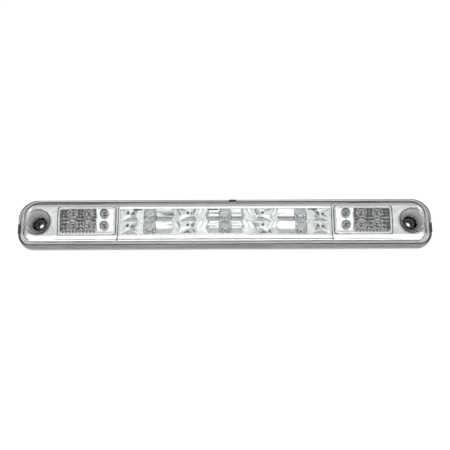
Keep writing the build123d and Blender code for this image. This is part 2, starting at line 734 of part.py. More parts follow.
def cargo_board(side):
    """Board behind one cargo reflector."""
    x0, x1 = sorted((side * 136.8, side * 207.0))
    plate = window(x0, x1, -14.5, 17.5, 1.5)
    plate -= [Pos(side * x, z) * Circle(1.7) for x, z in CARGO_POSTS]
    plate -= [Pos(side * x, 4.0) * Circle(1.4) for x in (144.5, 201.0)]
    plate -= [Pos(x, z) * Circle(LEAD_R + 0.1) for x, z in lead_places(cargo_led_places(side))]
    return slab(plate, CARGO_BOARD_FRONT - BOARD_T, CARGO_BOARD_FRONT)


def board_screws():
    """Self-tapping screws that hold the three boards to their posts."""
    top = BOARD_T + 1.8
    shank = [(0, -7.5), (1.0, -7.0), (1.4, -5.5), (1.4, BOARD_T)]
    head = [(2.7, BOARD_T), (2.5, BOARD_T + 1.3), (1.6, top), (0, top)]
    screw = turned(shank + head)
    screw -= [Pos(0, -top, 0) * Box(2.2, 1.8, 0.5), Pos(0, -top, 0) * Box(0.5, 1.8, 2.2)]
    return Compound(children=[Pos(x, -top, z) * screw for x, z, top in post_places()])


def surface_resistors():
    """Ballast resistors on the back of the brake board."""
    back = BRAKE_BOARD_FRONT - BOARD_T
    chips = []
    for x in (-112.0, -84.0, -46.0, -34.0, 34.0, 46.0, 84.0, 112.0):
        chips.append(slab(window(x - 3.2, x + 3.2, -3.0, 0.2, 0.2), back - 1.1, back))
    return Compound(children=chips)


def rectifier_diodes():
    """Polarity and cargo-feed diodes on the back of the brake board."""
    back = BRAKE_BOARD_FRONT - BOARD_T
    chips = []
    for x in (-14.0, 14.0, 27.0):
        body = facet(
            [(x - 2.0, -9.5), (x + 2.0, -9.5), (x + 2.0, -4.5), (x - 2.0, -4.5)],
            back - 2.2,
            [(x - 2.4, -9.9), (x + 2.4, -9.9), (x + 2.4, -4.1), (x - 2.4, -4.1)],
            back,
        )
        chips.append(body)
    return Compound(children=chips)


HEADER_X = 60.0
HEADER_PINS = (-3.75, -1.25, 1.25, 3.75)


def board_header():
    """Four-way wire header on the back of the brake board, opposite the grommet."""
    back = BRAKE_BOARD_FRONT - BOARD_T
    shroud = slab(window(HEADER_X - 6.5, HEADER_X + 6.5, -3.6, 3.6, 0.5), back - 8.0, back)
    shroud -= slab(window(HEADER_X - 5.5, HEADER_X + 5.5, -2.6, 2.6, 0.3), back - 9.0, back - 1.5)
    shroud -= slab(window(HEADER_X - 2.0, HEADER_X + 2.0, 2.0, 4.0, 0.2), back - 9.0, back - 3.0)
    shroud -= [rod(HEADER_X + offset, 0, 0.45, back - 3, back + 1) for offset in HEADER_PINS]
    return shroud


def header_pins():
    """Square-cut contact pins of the header."""
    back = BRAKE_BOARD_FRONT - BOARD_T
    pins = []
    for offset in HEADER_PINS:
        pins.append(slab(Pos(HEADER_X + offset, 0) * Rectangle(0.6, 0.6), back - 7.0, back))
    return Compound(children=pins)


def link_wires(side):
    """Two insulated wires between the brake board and a cargo board, each bowed behind the gap."""
    brake_back = BRAKE_BOARD_FRONT - BOARD_T
    cargo_back = CARGO_BOARD_FRONT - BOARD_T
    wires = []
    for z in (3.0, 6.0):
        points = [
            (side * 124.0, -brake_back, z),
            (side * 124.0, -brake_back + 9.0, z),
            (side * 147.0, -brake_back + 9.0, z),
            (side * 147.0, -cargo_back, z),
        ]
        path = FilletPolyline(*points, radius=4.0)
        section = Plane(origin=points[0], z_dir=(0, 1, 0)) * Circle(0.75)
        wires.append(sweep(section, path))
    return Compound(children=wires)


# --- write every sub-part -----------------------------------------------------------------------------
def sub_parts():
    """Node name and shape of every piece of the lamp."""
    brake_places = brake_led_places()
    parts = {
        "lens_cover": lens_cover(),
        "rear_housing": rear_housing(),
        "mounting_gasket": mounting_gasket(),
        "lens_seal": lens_seal(),
        "rim_pads": rim_pads(),
        "wiring_grommet": wiring_grommet(),
        "breather_cap": breather_cap(),
        "inner_bezel": inner_bezel(),
        "brake_reflector": brake_reflector(),
        "brake_board": brake_board(),
        "brake_leds": led_group(brake_places, BRAKE_BOARD_FRONT, SMALL_LED),
        "brake_led_leads": lead_group(brake_places, BRAKE_BOARD_FRONT),
        "board_screws": board_screws(),
        "surface_resistors": surface_resistors(),
        "rectifier_diodes": rectifier_diodes(),
        "board_header": board_header(),
        "header_pins": header_pins(),
    }
    for name, x in zip(("left", "centre", "right"), PILLAR_X):
        parts[f"pillar_optic_{name}"] = pillar_optic(x)
    for name, side in (("left", -1), ("right", 1)):
        places = cargo_led_places(side)
        parts[f"cargo_frame_{name}"] = cargo_frame(side)
        parts[f"cargo_reflector_{name}"] = cargo_reflector(side)
        parts[f"cargo_board_{name}"] = cargo_board(side)
        parts[f"cargo_leds_{name}"] = led_group(places, CARGO_BOARD_FRONT, LARGE_LED)
        parts[f"cargo_led_leads_{name}"] = lead_group(places, CARGO_BOARD_FRONT)
        parts[f"link_wires_{name}"] = link_wires(side)
        parts[f"screw_bush_{name}"] = screw_bush(side * SCREW_X)
    return parts


os.makedirs("parts", exist_ok=True)
for node, shape in sub_parts().items():
    export_step(shape, f"parts/{node}.step")
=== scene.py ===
"""Clear third brake light with cargo lamps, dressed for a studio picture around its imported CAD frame."""

import json
import math

import bpy
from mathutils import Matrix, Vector

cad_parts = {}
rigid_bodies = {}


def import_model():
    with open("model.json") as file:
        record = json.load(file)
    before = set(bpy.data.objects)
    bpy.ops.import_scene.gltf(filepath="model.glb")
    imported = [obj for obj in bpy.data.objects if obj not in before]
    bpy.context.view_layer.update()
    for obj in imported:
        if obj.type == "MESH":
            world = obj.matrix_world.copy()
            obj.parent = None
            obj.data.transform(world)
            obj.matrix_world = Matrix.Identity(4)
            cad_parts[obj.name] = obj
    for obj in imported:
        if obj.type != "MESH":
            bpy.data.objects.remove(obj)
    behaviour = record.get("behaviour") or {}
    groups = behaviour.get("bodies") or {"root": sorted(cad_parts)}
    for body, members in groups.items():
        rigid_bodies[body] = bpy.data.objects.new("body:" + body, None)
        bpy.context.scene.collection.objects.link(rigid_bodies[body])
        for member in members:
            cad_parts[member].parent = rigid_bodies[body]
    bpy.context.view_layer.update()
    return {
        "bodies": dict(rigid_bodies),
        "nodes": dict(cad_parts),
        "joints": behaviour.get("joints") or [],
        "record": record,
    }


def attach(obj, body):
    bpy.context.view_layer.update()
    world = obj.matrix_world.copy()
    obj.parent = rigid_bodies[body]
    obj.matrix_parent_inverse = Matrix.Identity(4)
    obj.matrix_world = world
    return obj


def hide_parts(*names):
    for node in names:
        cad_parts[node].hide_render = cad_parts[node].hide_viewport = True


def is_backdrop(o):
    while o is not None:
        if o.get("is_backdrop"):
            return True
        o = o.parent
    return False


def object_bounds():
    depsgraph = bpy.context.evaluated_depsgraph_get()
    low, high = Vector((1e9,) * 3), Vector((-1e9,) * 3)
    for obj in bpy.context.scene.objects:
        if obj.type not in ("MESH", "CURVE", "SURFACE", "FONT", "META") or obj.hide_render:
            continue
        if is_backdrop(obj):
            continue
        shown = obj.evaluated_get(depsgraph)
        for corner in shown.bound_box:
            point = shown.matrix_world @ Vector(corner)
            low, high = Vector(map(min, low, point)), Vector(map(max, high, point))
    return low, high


bl_info = {
    "name": "Third brake light",
    "version": (1, 0, 0),
    "blender": (4, 5, 0),
    "location": "View3D > Sidebar > Brake light",
    "description": "Builds the visible pieces of a clear LED third brake light around its CAD frame",
    "category": "Add Mesh",
}

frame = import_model()
NODES = frame["nodes"]
MM = 0.001
SIDES = ("left", "right")

# --- surfaces of the frame ----------------------------------------------------------------------------
LENS_FACE_Y = -0.022  # front of the rim, where the two lens blocks start
BLOCK_Y = LENS_FACE_Y - 0.5 * MM  # on the lens, only edges further forward than this are rounded
STIPPLE_FROM_X = 0.1606  # the two outer columns of each cup reflector start here
STEEP = 0.05  # a face whose normal has less than this share of Y runs straight back
MERGE_GAP = 2e-6  # corners closer than this are one corner
FLAT_ANGLE = math.radians(0.5)  # faces that differ by less are one face
# in degrees: sharper edges than the first two are rounded, flatter ones than the last two are shaded smooth
SHARP_ANGLE = 40.0
LENS_SHARP_ANGLE = 20.0
SMOOTH_ANGLE = 30.0
STOP_SMOOTH_ANGLE = 20.0
BEVEL_STEPS = 2

# --- rounding on the small pieces ---------------------------------------------------------------------
BOARD_EDGE = 0.1 * MM
RESISTOR_EDGE = 0.12 * MM
DIODE_EDGE = 0.15 * MM
HEADER_EDGE = 0.2 * MM
PIN_EDGE = 0.08 * MM
SCREW_EDGE = 0.12 * MM
FOAM_EDGE = 0.3 * MM
SEALANT_EDGE = 0.25 * MM

# --- lead frames, as shares of a light source's radius and height -------------------------------------
POSTS = ((-0.4, 0.60), (0.45, 0.66))  # place across and height of the two posts
POST_WIDTH = 0.36
POST_DEPTH = 0.30
POST_START = 0.2 * MM  # the posts start this far in front of the foot
CUP_LIMIT = 0.55  # the cup's radius is at most this share
CUP_HEIGHT = 0.12
CUP_STATION = 0.62  # height of the cup's middle
CUP_SINK = 0.06  # how far its floor is pressed in
CUP_RIM = 0.25  # width of its rim, as a share of the cup's radius
CUP_TAPER = 0.7  # size of its floor, as a share of its mouth
CUP_CORNERS = 20
DIE_STATION = 0.63
SAME_FOOT = 6.1 * MM  # corners closer than this belong to one light source's foot
BACK_PLANE = 0.01 * MM  # corners this close to the rearmost one lie on the foot's back
FOOT_FLANGE = 0.4 * MM  # how far the foot's flange stands out from the body

# --- studio -------------------------------------------------------------------------------------------
# brightness of the surroundings at each height angle
SKY = ((-90, 1.65), (-9, 1.65), (3, 1.15), (9, 1.02), (25, 0.98), (45, 0.9), (62, 0.5), (90, 0.5))
# Each edge is where a change in brightness starts and ends, as a share of the direction along one axis.
BACK_LIGHT = 0.5  # share of the brightness that is left low down behind the lamp
BACK_EDGE = (0.1, 0.5)
HIGH_EDGE = (0.12, 0.28)  # above this, the back is as bright as the front
SIDE_LIGHT = 0.7  # share of the brightness that is left at the sides
SIDE_EDGE = (0.78, 0.90)
UNDER_EDGE = (0.0, -0.15)  # below this, the sides are as bright as the front
SEEN_WHITE = 1.05  # what the camera sees behind the lamp
FLOOR_RADIUS = 1.5
FLOOR_CORNERS = 96
KEY_PLACE = (0, -0.3, 1.2)
KEY_SIZE = (2.4, 1.6)
SENSOR_WIDTH = 36


# --- small tools --------------------------------------------------------------------------------------
def linear(code):
    """Linear colour, with alpha, from an sRGB hex value such as C8C9CA."""
    values = [int(code[i : i + 2], 16) / 255 for i in (0, 2, 4)]
    return [v / 12.92 if v <= 0.04045 else ((v + 0.055) / 1.055) ** 2.4 for v in values] + [1.0]


def node(tree, kind, settings=None, links=None):
    """Adds a node. Settings name its inputs, properties or ramp stops; links map inputs to outputs."""
    added = tree.nodes.new(kind)
    for name, value in (settings or {}).items():
        if name == "stops":
            elements = added.color_ramp.elements
            while len(elements) < len(value):
                elements.new(0.5)
            for element, (at, colour) in zip(elements, value):
                element.position = at
                element.color = colour
        elif name in added.inputs:
            added.inputs[name].default_value = value
        else:
            setattr(added, name, value)
    for name, output in (links or {}).items():
        tree.links.new(output, added.inputs[name])
    return added


def select_only(*objects):
    """Selects these objects alone, the first one active, in object mode."""
    if bpy.context.object and bpy.context.object.mode != "OBJECT":
        bpy.ops.object.mode_set(mode="OBJECT")
    bpy.ops.object.select_all(action="DESELECT")
    for thing in objects:
        thing.select_set(True)
    bpy.context.view_layer.objects.active = objects[0]


def settle(piece, material, slot, *stands_for):
    """Gives the finished piece its material, puts its place into its mesh, and lets it ride on the lamp."""
    piece.data.materials.clear()
    piece.data.materials.append(material)
    select_only(piece)
    bpy.ops.object.transform_apply(location=True, rotation=True, scale=True)
    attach(piece, "root")
    if stands_for:
        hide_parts(*stands_for)
    return piece


def finished_copy(
    name, new_name, material, slot, width=0.0, smooth=SMOOTH_ANGLE, sharp=SHARP_ANGLE, ahead=None
):
    """A copy of a CAD node, merged, that stands for the node. Its sharp edges are rounded by the width.

    With ahead, only the edges that lie further forward than that Y are rounded.
    """
    piece = bpy.data.objects.new(new_name, NODES[name].data.copy())
    bpy.context.scene.collection.objects.link(piece)
    select_only(piece)
    bpy.ops.object.mode_set(mode="EDIT")
    bpy.ops.mesh.select_all(action="SELECT")
    bpy.ops.mesh.customdata_custom_splitnormals_clear()
    bpy.ops.mesh.remove_doubles(threshold=MERGE_GAP)
    bpy.ops.mesh.dissolve_limited(angle_limit=FLAT_ANGLE)
    bpy.ops.object.mode_set(mode="OBJECT")
    if width:
        bevel = piece.modifiers.new("rounded_edges", "BEVEL")
        bevel.width = width
        bevel.segments = BEVEL_STEPS
        bevel.limit_method = "ANGLE"
        bevel.angle_limit = math.radians(sharp)
        if ahead is not None:
            bevel.limit_method = "WEIGHT"
            weigh_edges(piece, math.radians(sharp), ahead)
        bpy.ops.object.modifier_apply(modifier=bevel.name)
    bpy.ops.object.shade_smooth_by_angle(angle=math.radians(smooth))
    return settle(piece, material, slot, name)


def weigh_edges(piece, sharp, ahead):
    """Marks for rounding the edges sharper than the angle that lie further forward than a Y."""
    bpy.ops.object.mode_set(mode="EDIT")
    bpy.ops.mesh.select_mode(type="EDGE")
    bpy.ops.mesh.select_all(action="DESELECT")
    bpy.ops.mesh.edges_select_sharp(sharpness=sharp)
    bpy.ops.object.mode_set(mode="OBJECT")
    mesh = piece.data
    weights = mesh.attributes.new("bevel_weight_edge", "FLOAT", "EDGE")
    for edge in mesh.edges:
        fore = all(mesh.vertices[corner].co.y < ahead for corner in edge.vertices)
        weights.data[edge.index].value = float(edge.select and fore)


def paint_shade_on_sides(piece, shade_black):
    """Gives painted shade, a dull black, to the faces that run straight back, so that their walls show as
    dark outlines.
    """
    piece.data.materials.append(shade_black)
    last = len(piece.data.materials) - 1
    for face in piece.data.polygons:
        if abs(face.normal.y) < STEEP:
            face.material_index = last


def repeated(model, places, name, material, slot):
    """Copies the model, with its own mesh each time, to every place, and makes the copies one piece."""
    copies = []
    for place in places:
        copy = model.copy()
        copy.data = model.data.copy()
        copy.location = place
        bpy.context.scene.collection.objects.link(copy)
        copies.append(copy)
    bpy.data.objects.remove(model)
    select_only(*copies)
    bpy.ops.object.join()
    piece = bpy.context.object
    piece.name = name
    return settle(piece, material, slot)


# --- materials ----------------------------------------------------------------------------------------
WANDER = (0.3, 0.7)  # the part of the noise's range that the two tones are spread over


def surfaced(name, tones, fixed, patch_mm, roughness, grain_mm, grain_depth_mm, grain="ShaderNodeTexNoise"):
    """A material whose tone and roughness wander over patches, with a grain raised by a real depth.

    The roughness is given as its lowest and highest value, and fixed holds the shader's own settings.
    """
    material = bpy.data.materials.new(name)
    material.use_nodes = True
    tree = material.node_tree
    tree.nodes.clear()
    place = node(tree, "ShaderNodeTexCoord").outputs["Object"]
    size = {"Scale": 1 / (patch_mm * MM), "Detail": 4.0}
    wander = node(tree, "ShaderNodeTexNoise", size, {"Vector": place}).outputs["Fac"]
    dark, light = tones
    low, high = WANDER
    colour = node(tree, "ShaderNodeValToRGB", {"stops": [(low, dark), (high, light)]}, {"Fac": wander})
    spread = {"From Min": low, "From Max": high, "To Min": roughness[0], "To Max": roughness[1]}
    polish = node(tree, "ShaderNodeMapRange", spread, {"Value": wander})
    texture = node(tree, grain, {"Scale": 1 / (grain_mm * MM)}, {"Vector": place})
    height = texture.outputs["Distance" if grain == "ShaderNodeTexVoronoi" else "Fac"]
    relief = {"Distance": grain_depth_mm * MM, "Strength": 1.0}
    bump = node(tree, "ShaderNodeBump", relief, {"Height": height})
    links = {
        "Base Color": colour.outputs["Color"],
        "Roughness": polish.outputs["Result"],
        "Normal": bump.outputs["Normal"],
    }
    shader = node(tree, "ShaderNodeBsdfPrincipled", fixed, links)
    node(tree, "ShaderNodeOutputMaterial", None, {"Surface": shader.outputs["BSDF"]})
    return material


def clear_polycarbonate(colours):
    """Injection-moulded polycarbonate: water clear and glossy, with a faint flow ripple under the gloss."""
    tones = [colours.lens, linear("FFFFFF")]
    fixed = {"IOR": 1.585, "Transmission Weight": 1.0}
    return surfaced(
        "moulded_clear_polycarbonate",
        tones,
        fixed,
        patch_mm=25,
        roughness=(0.0, 0.04),
        grain_mm=9.0,
        grain_depth_mm=0.010,
    )


def vacuum_metallising(colours):
    """Aluminium film under lacquer on ABS: a soft mirror with a slight orange peel."""
    tones = [colours.metallising, linear("E6E7E8")]
    return surfaced(
        "vacuum_metallised_abs",
        tones,
        {"Metallic": 1.0},
        patch_mm=6,
        roughness=(0.10, 0.16),
        grain_mm=1.6,
        grain_depth_mm=0.004,
    )


def painted_shade_black():
    """Painted shade: a black for the walls of slots, holes and openings, so that they show as dark lines. It
    is dull, with a fine grain.
    """
    tones = [linear("0E0E0F"), linear("1A1A1B")]
    return surfaced(
        "painted_shade_black",
        tones,
        {"IOR": 1.52},
        patch_mm=3,
        roughness=(0.55, 0.75),
        grain_mm=0.4,
        grain_depth_mm=0.01,
    )


def cargo_metallising(colours):
    """The same film on a stippled tool surface: it breaks the light into small patches."""
    tones = [colours.metallising, linear("E2E3E4")]
    return surfaced(
        "stippled_metallised_abs",
        tones,
        {"Metallic": 1.0},
        patch_mm=3,
        roughness=(0.10, 0.16),
        grain_mm=3.2,
        grain_depth_mm=0.35,
    )


def white_abs(colours):
    """Moulded ABS from a spark-eroded tool: matt, with a fine even grain and slight flow shading."""
    tones = [colours.housing, linear("E0E0DE")]
    return surfaced(
        "moulded_white_abs",
        tones,
        {"IOR": 1.52},
        patch_mm=18,
        roughness=(0.42, 0.60),
        grain_mm=0.7,
        grain_depth_mm=0.02,
    )


def epdm_rubber(colours):
    """Moulded EPDM rubber: near black and dull, with a pale bloom in patches."""
    tones = [colours.rubber, linear("2E2E2F")]
    return surfaced(
        "moulded_epdm_rubber",
        tones,
        {"IOR": 1.5},
        patch_mm=4,
        roughness=(0.55, 0.80),
        grain_mm=0.5,
        grain_depth_mm=0.03,
    )


def cell_foam(colours):
    """Closed-cell EPDM foam, cut from sheet: open half cells about a millimetre wide at the cut."""
    tones = [colours.gasket, linear("434344")]
    fixed = {"IOR": 1.45}
    return surfaced(
        "cut_closed_cell_foam",
        tones,
        fixed,
        patch_mm=3,
        roughness=(0.80, 0.95),
        grain_mm=1.1,
        grain_depth_mm=0.3,
        grain="ShaderNodeTexVoronoi",
    )


def silicone_bead():
    """Grey-white silicone sealant pressed flat between two mouldings: half glossy, with shallow waves."""
    tones = [linear("D9DADA"), linear("E6E7E7")]
    return surfaced(
        "pressed_silicone_sealant",
        tones,
        {"IOR": 1.43},
        patch_mm=5,
        roughness=(0.35, 0.50),
        grain_mm=4.0,
        grain_depth_mm=0.10,
    )


def solder_resist(colours):
    """Matt black solder resist on glass-fibre laminate: the weave shows as a faint 0.8 mm pattern."""
    tones = [colours.board, linear("1D1E1D")]
    return surfaced(
        "black_solder_resist",
        tones,
        {"IOR": 1.5},
        patch_mm=10,
        roughness=(0.45, 0.60),
        grain_mm=0.8,
        grain_depth_mm=0.02,
    )


def clear_epoxy():
    """Cast clear epoxy of the light sources: glossy, with a trace of clouding."""
    tones = [linear("F2F4F2"), linear("FFFFFF")]
    fixed = {"IOR": 1.54, "Transmission Weight": 1.0}
    return surfaced(
        "cast_clear_epoxy",
        tones,
        fixed,
        patch_mm=3,
        roughness=(0.01, 0.04),
        grain_mm=2.0,
        grain_depth_mm=0.004,
    )


def silvered_frame():
    """Silver-plated stamped lead frame: bright, with fine stamping marks."""
    tones = [linear("B9BABB"), linear("DADBDC")]
    return surfaced(
        "silver_plated_copper",
        tones,
        {"Metallic": 1.0},
        patch_mm=0.6,
        roughness=(0.25, 0.40),
        grain_mm=0.3,
        grain_depth_mm=0.01,
    )


def tinned_copper():
    """Hot-tinned copper and solder: bright grey with a slightly lumpy skin."""
    tones = [linear("A9A9A6"), linear("D2D2CE")]
    return surfaced(
        "hot_tinned_copper",
        tones,
        {"Metallic": 1.0},
        patch_mm=1.2,
        roughness=(0.22, 0.42),
        grain_mm=0.6,
        grain_depth_mm=0.03,
    )


def zinc_plate():
    """Zinc-plated steel screws: cool grey with the cloudy mottling of the plating."""
    tones = [linear("9FA3A8"), linear("C9CCD0")]
    return surfaced(
        "zinc_plated_steel",
        tones,
        {"Metallic": 1.0},
        patch_mm=0.9,
        roughness=(0.28, 0.45),
        grain_mm=0.35,
        grain_depth_mm=0.01,
    )


def black_encapsulant():
    """Transfer-moulded black epoxy of resistors and diodes, and of the breather cap: fine matt grain."""
    tones = [linear("1B1B1C"), linear("2A2A2B")]
    return surfaced(
        "matt_black_moulding",
        tones,
        {"IOR": 1.55},
        patch_mm=2,
        roughness=(0.50, 0.70),
        grain_mm=0.25,
        grain_depth_mm=0.01,
    )


def natural_nylon():
    """Natural nylon 66 header: ivory, half glossy, slightly waxy."""
    tones = [linear("E2DDCB"), linear("EFEBDD")]
    return surfaced(
        "moulded_natural_nylon",
        tones,
        {"IOR": 1.53},
        patch_mm=4,
        roughness=(0.32, 0.48),
        grain_mm=0.6,
        grain_depth_mm=0.01,
    )


def pvc_insulation():
    """Extruded PVC wire insulation: black with a soft sheen and faint drawing ripple."""
    tones = [linear("1C1C1D"), linear("262627")]
    return surfaced(
        "extruded_black_pvc",
        tones,
        {"IOR": 1.53},
        patch_mm=5,
        roughness=(0.38, 0.52),
        grain_mm=0.9,
        grain_depth_mm=0.02,
    )


def painted_floor(colours):
    """White emulsion rolled on board: dead flat, with the faint stipple of the roller."""
    tones = [colours.floor, linear("F8F8F7")]
    return surfaced(
        "rolled_white_paint",
        tones,
        {"IOR": 1.5},
        patch_mm=60,
        roughness=(0.75, 0.90),
        grain_mm=2.5,
        grain_depth_mm=0.05,
    )


# --- sizes and colours that can be changed ------------------------------------------------------------
def colour_choice(name, description, code):
    """A colour property with an sRGB hex default."""
    return bpy.props.FloatVectorProperty(
        name=name, description=description, size=4, subtype="COLOR", min=0, max=1, default=linear(code)
    )


def length_choice(name, description, millimetres):
    """A length property with a default in millimetres."""
    size = millimetres * MM
    return bpy.props.FloatProperty(name=name, description=description, default=size, unit="LENGTH")


class LampColours(bpy.types.PropertyGroup):
    """Colours of the lamp's materials."""

    lens: colour_choice("Lens", "Tint of the clear mouldings", "FBFCFC")
    metallising: colour_choice("Metallising", "Colour of the aluminium film", "D2D4D5")
    housing: colour_choice("Housing", "Colour of the rear moulding", "D6D6D4")
    rubber: colour_choice("Rubber", "Colour of bushes, pads and grommet", "181819")
    gasket: colour_choice("Gasket", "Colour of the foam", "303031")
    board: colour_choice("Board", "Colour of the solder resist", "111211")
    floor: colour_choice("Floor", "Colour of the studio floor", "F2F2F1")


class LampSizes(bpy.types.PropertyGroup):
    """Sizes of the finish that the CAD frame leaves out."""

    lens_edge: length_choice("Lens edge", "Rounding on the lens blocks' edges", 0.5)
    facet_edge: length_choice("Facet edge", "Rounding on the mask and the cut columns", 0.12)
    frame_edge: length_choice("Frame edge", "Rounding on the window frames", 0.25)
    moulding_edge: length_choice("Moulding edge", "Rounding on rubber and ABS edges", 0.4)
    frame_cup: length_choice("Lead frame cup", "Radius of the cup that holds each die", 0.8)
    die: length_choice("Die", "Width of each light source's die", 0.35)


class StudioSettings(bpy.types.PropertyGroup):
    """Camera and light."""

    distance: length_choice("Distance", "From the camera to the lens", 950)
    width: length_choice("Width seen", "Width of the picture at the lens", 562.5)
    drop: length_choice("Aim drop", "How far below the lamp's middle the camera aims", 3.4)
    elevation: bpy.props.FloatProperty(
        name="Elevation", description="Camera height angle", default=math.radians(-14), subtype="ANGLE"
    )
    roll: bpy.props.FloatProperty(
        name="Roll", description="Turn of the picture", default=math.radians(-0.25), subtype="ANGLE"
    )
    floor_drop: length_choice("Floor drop", "From the lamp's middle down to the floor", 450)
    key_power: bpy.props.FloatProperty(
        name="Key light", description="Power of the overhead soft light", default=56.0, unit="POWER"
    )


# --- operators ----------------------------------------------------------------------------------------
class LAMP_OT_lens(bpy.types.Operator):
    """Clear lens cover and the three cut columns behind it"""

    bl_idname = "lamp.lens"
    bl_label = "Lens"

    def execute(self, context):
        sizes = context.scene.lamp_sizes
        clear = clear_polycarbonate(context.scene.lamp_colours)
        slot = "clear_lens"
        edge = sizes.lens_edge
        finished_copy("lens_cover", "lens_moulding", clear, slot, edge, sharp=LENS_SHARP_ANGLE, ahead=BLOCK_Y)
        for name in ("left", "centre", "right"):
            finished_copy(f"pillar_optic_{name}", f"cut_column_{name}", clear, slot, sizes.facet_edge)
        return {"FINISHED"}


class LAMP_OT_reflectors(bpy.types.Operator):
    """Metallised mask, window frames and reflectors"""

    bl_idname = "lamp.reflectors"
    bl_label = "Reflectors"

    def execute(self, context):
        edge = context.scene.lamp_sizes.facet_edge
        film = vacuum_metallising(context.scene.lamp_colours)
        stipple = cargo_metallising(context.scene.lamp_colours)
        slot = "bright_metallising"
        # painted shade: the faces that run straight back get a dull black, so they show as dark outlines and
        # slots
        shade_black = painted_shade_black()
        paint_shade_on_sides(finished_copy("inner_bezel", "metallised_mask", film, slot, edge), shade_black)
        stop = finished_copy("brake_reflector", "stop_reflector", film, slot, smooth=STOP_SMOOTH_ANGLE)
        paint_shade_on_sides(stop, shade_black)
        frame_edge = context.scene.lamp_sizes.frame_edge
        for side in SIDES:
            frame = finished_copy(f"cargo_frame_{side}", f"window_frame_{side}", film, slot, frame_edge)
            paint_shade_on_sides(frame, shade_black)
            cups = finished_copy(f"cargo_reflector_{side}", f"cup_reflector_{side}", film, slot)
            cups.data.materials.append(stipple)
            for face in cups.data.polygons:
                face.material_index = int(abs(face.center.x) > STIPPLE_FROM_X)
            paint_shade_on_sides(cups, shade_black)
        return {"FINISHED"}


class LAMP_OT_light_sources(bpy.types.Operator):
    """Epoxy light sources with their lead frames, and their leads"""

    bl_idname = "lamp.light_sources"
    bl_label = "Light sources"

    def lead_frame(self, radius, height):
        """Two stamped posts, the first with a cup and its die, standing along the lamp's front axis."""
        upright = (math.radians(90), 0, 0)
        parts = []
        for across, tall in POSTS:
            bpy.ops.object.select_all(action="DESELECT")
            size = (POST_WIDTH * radius, tall * height, POST_DEPTH * radius)
            place = (across * radius, -tall * height / 2 - POST_START, 0)
            bpy.ops.mesh.primitive_cube_add(size=1, location=place, scale=size)
            parts.append(bpy.context.object)
        sizes = bpy.context.scene.lamp_sizes
        cup = min(sizes.frame_cup, CUP_LIMIT * radius)
        cup_x = POSTS[0][0] * radius
        depth = CUP_HEIGHT * height
        bpy.ops.object.select_all(action="DESELECT")
        place = (cup_x, -CUP_STATION * height, 0)
        bpy.ops.mesh.primitive_cylinder_add(
            vertices=CUP_CORNERS, radius=cup, depth=depth, location=place, rotation=upright
        )
        bowl = bpy.context.object
        bpy.ops.object.mode_set(mode="EDIT")
        bpy.ops.mesh.select_all(action="DESELECT")
        bpy.ops.object.mode_set(mode="OBJECT")
        # the cup's mouth: the round end that looks along the cylinder's own axis
        for face in bowl.data.polygons:
            face.select = face.normal.z > 0.9 and len(face.vertices) > 4
        bpy.ops.object.mode_set(mode="EDIT")
        bpy.ops.mesh.select_mode(type="FACE")
        bpy.ops.mesh.inset(thickness=CUP_RIM * cup)
        bpy.ops.transform.translate(value=(0, CUP_SINK * height, 0))
        bpy.ops.transform.resize(value=(CUP_TAPER, 1, CUP_TAPER))
        bpy.ops.object.mode_set(mode="OBJECT")
        parts.append(bowl)
        bpy.ops.object.select_all(action="DESELECT")
        die = (cup_x, -DIE_STATION * height, 0)
        bpy.ops.mesh.primitive_cube_add(size=sizes.die, location=die)
        parts.append(bpy.context.object)
        select_only(*parts)
        bpy.ops.object.join()
        bpy.ops.object.transform_apply(location=True, rotation=True, scale=True)
        return bpy.context.object

    def execute(self, context):
        epoxy = clear_epoxy()
        silver = silvered_frame()
        tin = tinned_copper()
        groups = [("brake_leds", "brake_led_leads")]
        groups += [(f"cargo_leds_{side}", f"cargo_led_leads_{side}") for side in SIDES]
        for bodies, leads in groups:
            places, radius, height = self.standing_places(bodies)
            finished_copy(bodies, f"{bodies}_bodies", epoxy, "clear_epoxy")
            model = self.lead_frame(radius, height)
            repeated(model, places, f"{bodies}_lead_frames", silver, "tinned_metal")
            finished_copy(leads, f"{leads}_tinned", tin, "tinned_metal")
        return {"FINISHED"}

    def standing_places(self, bodies):
        """Foot of every light source in a group, with their radius and height."""
        mesh = NODES[bodies].data
        back = max(v.co.y for v in mesh.vertices)
        front = min(v.co.y for v in mesh.vertices)
        feet = [v.co for v in mesh.vertices if v.co.y > back - BACK_PLANE]
        clusters = []
        for foot in feet:
            for cluster in clusters:
                if (cluster[0] - foot).length < SAME_FOOT:
                    cluster.append(foot)
                    break
            else:
                clusters.append([foot])
        places = []
        for cluster in clusters:
            xs = [v.x for v in cluster]
            zs = [v.z for v in cluster]
            places.append(Vector(((min(xs) + max(xs)) / 2, back, (min(zs) + max(zs)) / 2)))
        widest = max(max(v.x for v in cluster) - min(v.x for v in cluster) for cluster in clusters)
        return places, widest / 2 - FOOT_FLANGE, back - front


class LAMP_OT_boards(bpy.types.Operator):
    """Circuit boards with what is soldered and screwed to them"""

    bl_idname = "lamp.boards"
    bl_label = "Boards"

    def execute(self, context):
        resist = solder_resist(context.scene.lamp_colours)
        tin = tinned_copper()
        black = black_encapsulant()
        wire = pvc_insulation()
        finished_copy("brake_board", "stop_lamp_board", resist, "circuit_board", BOARD_EDGE)
        finished_copy("surface_resistors", "ballast_resistors", black, "black_component", RESISTOR_EDGE)
        finished_copy("rectifier_diodes", "feed_diodes", black, "black_component", DIODE_EDGE)
        finished_copy("board_header", "wire_header", natural_nylon(), "natural_nylon", HEADER_EDGE)
        finished_copy("header_pins", "contact_pins", tin, "tinned_metal", PIN_EDGE)
        finished_copy("board_screws", "self_tapping_screws", zinc_plate(), "zinc_steel", SCREW_EDGE)
        for side in SIDES:
            finished_copy(f"cargo_board_{side}", f"cup_board_{side}", resist, "circuit_board", BOARD_EDGE)
            finished_copy(f"link_wires_{side}", f"insulated_wires_{side}", wire, "wire_insulation")
        return {"FINISHED"}


